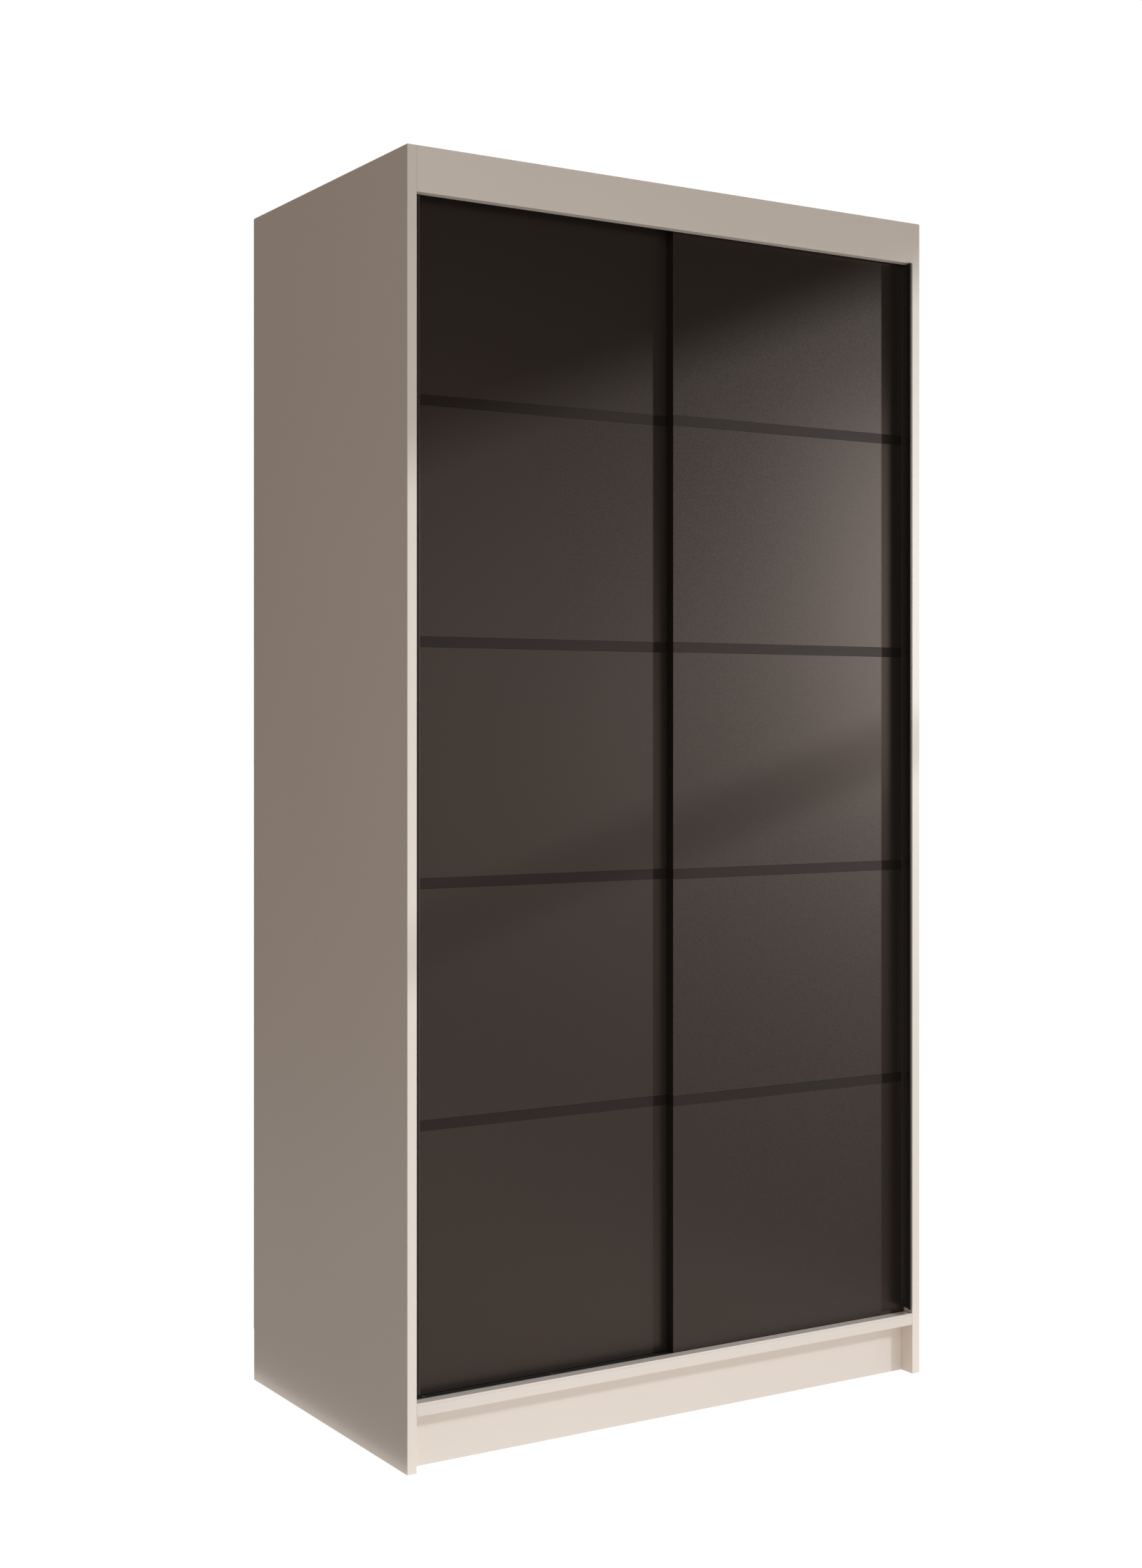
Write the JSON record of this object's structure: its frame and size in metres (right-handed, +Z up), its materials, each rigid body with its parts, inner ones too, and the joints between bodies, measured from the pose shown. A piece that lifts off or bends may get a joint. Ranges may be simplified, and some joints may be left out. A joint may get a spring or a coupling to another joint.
{
  "type": "sliding door wardrobe",
  "caption": "Freestanding board wardrobe with overlapping sliding doors on a double track, lip handles, flat decor strips, shelves and a hanging rail.",
  "frame": {"origin": "middle of the whole bounding box on the floor, the proud front handle included", "axes": "+X to the right seen from the front, +Y to the back, +Z up; the doors face -Y"},
  "size_m": [1, 0.588, 2],
  "materials": {
    "cashmere_board": "satin melamine",
    "inside_board": "satin melamine",
    "back_sheet": "satin white lacquer on fibreboard",
    "rail_steel": "polished",
    "zinc": "zinc plated",
    "track_top": "matte",
    "black_track": "matte",
    "track_trim": "satin",
    "beech": "raw",
    "door_board": "semi-gloss melamine",
    "handle_black": "satin black",
    "strip_black": "matte",
    "black_fitting": "matte",
    "wheel_nylon": "matte"
  },
  "bodies": {
    "carcass": {"side_panel_left": "cashmere_board", "side_panel_right": "cashmere_board", "top_panel": "cashmere_board", "bottom_panel": "cashmere_board", "fascia": "cashmere_board", "plinth_front": "cashmere_board", "plinth_rear": "cashmere_board", "partition": "inside_board", "back_sheet_left": "back_sheet", "back_sheet_right": "back_sheet", "shelf_1": "inside_board", "shelf_2": "inside_board", "shelf_3": "inside_board", "shelf_4": "inside_board", "hat_shelf": "inside_board", "hanging_rail": "rail_steel", "rail_cups": "zinc", "rail_screws": "zinc", "track_top": "track_top", "track_bottom": "black_track", "track_trim": "track_trim", "track_screws": "zinc", "track_stops": "black_track", "cam_locks": "zinc", "cam_bolts": "zinc", "dowels": "beech", "shelf_pegs": "zinc", "back_nails": "zinc"},
    "door_left": {"door_left_board": "door_board", "door_left_handle": "handle_black", "door_left_strip_1": "strip_black", "door_left_strip_2": "strip_black", "door_left_strip_3": "strip_black", "door_left_strip_4": "strip_black", "door_left_housings": "black_fitting", "door_left_axles": "zinc", "door_left_guides": "black_fitting", "door_left_screws": "zinc"},
    "door_right": {"door_right_board": "door_board", "door_right_handle": "handle_black", "door_right_strip_1": "strip_black", "door_right_strip_2": "strip_black", "door_right_strip_3": "strip_black", "door_right_strip_4": "strip_black", "door_right_housings": "black_fitting", "door_right_axles": "zinc", "door_right_guides": "black_fitting", "door_right_screws": "zinc"},
    "door_left_wheel_1": {"door_left_wheel_1": "wheel_nylon"},
    "door_left_wheel_2": {"door_left_wheel_2": "wheel_nylon"},
    "door_left_pin_1": {"door_left_pin_1": "wheel_nylon"},
    "door_left_pin_2": {"door_left_pin_2": "wheel_nylon"},
    "door_right_wheel_1": {"door_right_wheel_1": "wheel_nylon"},
    "door_right_wheel_2": {"door_right_wheel_2": "wheel_nylon"},
    "door_right_pin_1": {"door_right_pin_1": "wheel_nylon"},
    "door_right_pin_2": {"door_right_pin_2": "wheel_nylon"}
  },
  "joints": [
    {"name": "door_left_slide", "type": "slide", "parent": "carcass", "child": "door_left", "axis": [1, 0, 0], "range_m": [0, 0.46]},
    {"name": "door_right_slide", "type": "slide", "parent": "carcass", "child": "door_right", "axis": [1, 0, 0], "range_m": [-0.46, 0]},
    {"name": "door_left_wheel_1_spin", "type": "hinge", "parent": "door_left", "child": "door_left_wheel_1", "pos_m": [-0.428, -0.238, 0.1123], "axis": [0, 1, 0], "continuous": true},
    {"name": "door_left_pin_1_slide", "type": "slide", "parent": "door_left", "child": "door_left_pin_1", "axis": [0, 0, 1], "range_m": [-0.012, 0], "stiffness_N_per_m": 50, "springref_m": 0.02},
    {"name": "door_left_wheel_2_spin", "type": "hinge", "parent": "door_left", "child": "door_left_wheel_2", "pos_m": [-0.051, -0.238, 0.1123], "axis": [0, 1, 0], "continuous": true},
    {"name": "door_left_pin_2_slide", "type": "slide", "parent": "door_left", "child": "door_left_pin_2", "axis": [0, 0, 1], "range_m": [-0.012, 0], "stiffness_N_per_m": 50, "springref_m": 0.02},
    {"name": "door_right_wheel_1_spin", "type": "hinge", "parent": "door_right", "child": "door_right_wheel_1", "pos_m": [0.051, -0.257, 0.1123], "axis": [0, 1, 0], "continuous": true},
    {"name": "door_right_pin_1_slide", "type": "slide", "parent": "door_right", "child": "door_right_pin_1", "axis": [0, 0, 1], "range_m": [-0.012, 0], "stiffness_N_per_m": 50, "springref_m": 0.02},
    {"name": "door_right_wheel_2_spin", "type": "hinge", "parent": "door_right", "child": "door_right_wheel_2", "pos_m": [0.428, -0.257, 0.1123], "axis": [0, 1, 0], "continuous": true},
    {"name": "door_right_pin_2_slide", "type": "slide", "parent": "door_right", "child": "door_right_pin_2", "axis": [0, 0, 1], "range_m": [-0.012, 0], "stiffness_N_per_m": 50, "springref_m": 0.02}
  ],
  "couplings": [
    {"joint": "door_left_wheel_1_spin", "follows": "door_left_slide", "rad_per_m": 111.11},
    {"joint": "door_left_wheel_2_spin", "follows": "door_left_slide", "rad_per_m": 111.11},
    {"joint": "door_right_wheel_1_spin", "follows": "door_right_slide", "rad_per_m": 111.11},
    {"joint": "door_right_wheel_2_spin", "follows": "door_right_slide", "rad_per_m": 111.11}
  ]
}
